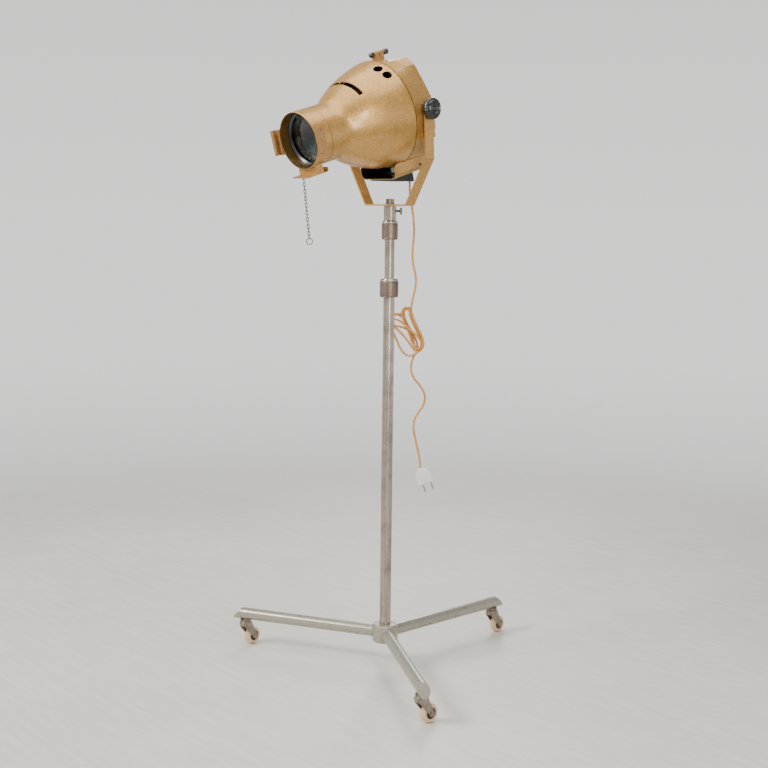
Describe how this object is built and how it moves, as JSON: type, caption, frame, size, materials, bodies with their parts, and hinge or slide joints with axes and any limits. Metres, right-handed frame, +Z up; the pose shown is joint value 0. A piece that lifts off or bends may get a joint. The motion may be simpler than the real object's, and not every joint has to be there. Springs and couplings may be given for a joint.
{
  "type": "lens spotlight on stand",
  "caption": "Small stage spotlight with a plano-convex lens, tilting in a flat yoke on a telescopic stand with a three-legged rolling base and a hanging mains lead.",
  "frame": {"origin": "on the floor, on the axis of the mast", "axes": "+Z up along the mast; at rest the lamp points towards -Y, tilted down 16.4 degrees; +X is the side of the nearer tilt knob"},
  "size_m": [0.6794, 0.665, 1.3717],
  "materials": {
    "gold_hammered": "hammered enamel, semi-gloss, chipped",
    "green_hammered": "hammered enamel, worn",
    "tray_dark": "matt",
    "nickel": "worn nickel plate",
    "collar_bronze": "knurled, tarnished",
    "caster_steel": "aged plate",
    "screw_steel": "satin",
    "wheel_brown": "moulded",
    "wheel_amber": "aged cream, slightly glossy",
    "lens_glass": "polished",
    "globe_glass": "polished",
    "black_enamel": "satin",
    "bakelite": "polished",
    "dark_box": "matt",
    "porcelain": "glazed",
    "brass": "worn",
    "mirror": "polished",
    "chain_steel": "tarnished",
    "cord_gold": "satin",
    "plug_white": "aged",
    "pin_brass": "nickel plated"
  },
  "bodies": {
    "base": {"base_hub": "green_hammered", "leg_left": "green_hammered", "leg_front": "green_hammered", "leg_rear": "green_hammered", "leg_caps": "green_hammered", "caster_stems": "caster_steel", "mast_lower_tube": "nickel", "lower_collet": "nickel"},
    "lower_collar": {"lower_collar": "collar_bronze"},
    "middle_mast": {"mast_middle_tube": "nickel", "upper_collet": "nickel"},
    "upper_collar": {"upper_collar": "collar_bronze"},
    "top_stage": {"mast_inner_tube": "nickel", "head_socket": "nickel"},
    "socket_clamp_screw": {"socket_clamp_screw": "screw_steel"},
    "yoke": {"yoke": "gold_hammered", "yoke_spigot": "nickel", "spigot_nut": "screw_steel", "cord_drop": "cord_gold", "cord_hank": "cord_gold", "cord_tail": "cord_gold", "plug_body": "plug_white", "plug_pins": "pin_brass", "plug_screw": "screw_steel"},
    "head": {"rear_housing": "gold_hammered", "bell": "gold_hammered", "vent_baffle": "tray_dark", "filter_sleeve": "gold_hammered", "lens": "lens_glass", "lens_rings": "black_enamel", "filter_runners": "gold_hammered", "filter_stop": "gold_hammered", "lamp_tray": "gold_hammered", "terminal_box": "dark_box", "cord_gland": "dark_box", "tray_screws": "screw_steel", "catch_lug": "gold_hammered", "tilt_studs": "screw_steel", "tilt_washers": "screw_steel", "cord_stub": "cord_gold"},
    "knob_left": {"tilt_knob_left": "bakelite"},
    "knob_right": {"tilt_knob_right": "bakelite"},
    "carriage": {"focus_carriage": "tray_dark", "lampholder": "porcelain", "lamp_cap": "brass", "lamp_globe": "globe_glass", "reflector": "mirror", "focus_rod": "screw_steel", "focus_knob": "bakelite"},
    "catch_screw": {"catch_screw": "brass"},
    "chain": {"chain": "chain_steel"},
    "caster_left": {"caster_fork_left": "caster_steel"},
    "wheel_left": {"wheel_core_left": "wheel_brown", "wheel_tyre_left": "wheel_amber"},
    "caster_front": {"caster_fork_front": "caster_steel"},
    "wheel_front": {"wheel_core_front": "wheel_brown", "wheel_tyre_front": "wheel_amber"},
    "caster_rear": {"caster_fork_rear": "caster_steel"},
    "wheel_rear": {"wheel_core_rear": "wheel_brown", "wheel_tyre_rear": "wheel_amber"}
  },
  "joints": [
    {"name": "mast_extend", "type": "slide", "parent": "base", "child": "middle_mast", "axis": [0, 0, 1], "range_m": [-0.08, 0.45]},
    {"name": "head_extend", "type": "slide", "parent": "middle_mast", "child": "top_stage", "axis": [0, 0, 1], "range_m": [0, 0.35]},
    {"name": "lower_collar_turn", "type": "hinge", "parent": "base", "child": "lower_collar", "pos_m": [0, 0, 0.86], "axis": [0, 0, 1], "range_deg": [0, 180]},
    {"name": "upper_collar_turn", "type": "hinge", "parent": "middle_mast", "child": "upper_collar", "pos_m": [0, 0, 0.985], "axis": [0, 0, 1], "range_deg": [0, 180]},
    {"name": "clamp_screw_turn", "type": "hinge", "parent": "top_stage", "child": "socket_clamp_screw", "pos_m": [0, 0, 1.027], "axis": [0.6691, 0.7431, 0], "range_deg": [0, 360]},
    {"name": "pan", "type": "hinge", "parent": "top_stage", "child": "yoke", "pos_m": [0, 0, 1.03], "axis": [0, 0, 1], "range_deg": [-180, 180]},
    {"name": "tilt", "type": "hinge", "parent": "yoke", "child": "head", "pos_m": [0, -0.003, 1.24], "axis": [1, 0, 0], "range_deg": [-36, 34]},
    {"name": "left_knob_turn", "type": "hinge", "parent": "head", "child": "knob_left", "pos_m": [-0.128, -0.003, 1.24], "axis": [1, 0, 0], "range_deg": [0, 360]},
    {"name": "right_knob_turn", "type": "hinge", "parent": "head", "child": "knob_right", "pos_m": [0.128, -0.003, 1.24], "axis": [1, 0, 0], "range_deg": [0, 360]},
    {"name": "catch_screw_turn", "type": "hinge", "parent": "head", "child": "catch_screw", "pos_m": [0, -0.03801, 1.35895], "axis": [0, -0.9593, -0.2823], "range_deg": [0, 360]},
    {"name": "focus", "type": "slide", "parent": "head", "child": "carriage", "axis": [0, -0.9593, -0.2823], "range_m": [-0.009, 0.04]},
    {"name": "chain_swing", "type": "hinge", "parent": "head", "child": "chain", "pos_m": [0, -0.23988, 1.0895], "axis": [0.6691, 0.7431, 0], "range_deg": [-55, 55]},
    {"name": "left_caster_swivel", "type": "hinge", "parent": "base", "child": "caster_left", "pos_m": [-0.31452, -0.16026, 0.05], "axis": [0, 0, 1], "continuous": true},
    {"name": "left_wheel_spin", "type": "hinge", "parent": "caster_left", "child": "wheel_left", "pos_m": [-0.31745, -0.13946, 0.02], "axis": [-0.9903, -0.1392, 0], "continuous": true},
    {"name": "front_caster_swivel", "type": "hinge", "parent": "base", "child": "caster_front", "pos_m": [0.30571, -0.1765, 0.05], "axis": [0, 0, 1], "continuous": true},
    {"name": "front_wheel_spin", "type": "hinge", "parent": "caster_front", "child": "wheel_front", "pos_m": [0.30644, -0.15551, 0.02], "axis": [-0.9994, 0.0349, 0], "continuous": true},
    {"name": "rear_caster_swivel", "type": "hinge", "parent": "base", "child": "caster_rear", "pos_m": [0, 0.353, 0.05], "axis": [0, 0, 1], "continuous": true},
    {"name": "rear_wheel_spin", "type": "hinge", "parent": "caster_rear", "child": "wheel_rear", "pos_m": [-0.00073, 0.37399, 0.02], "axis": [-0.9994, -0.0349, 0], "continuous": true}
  ]
}
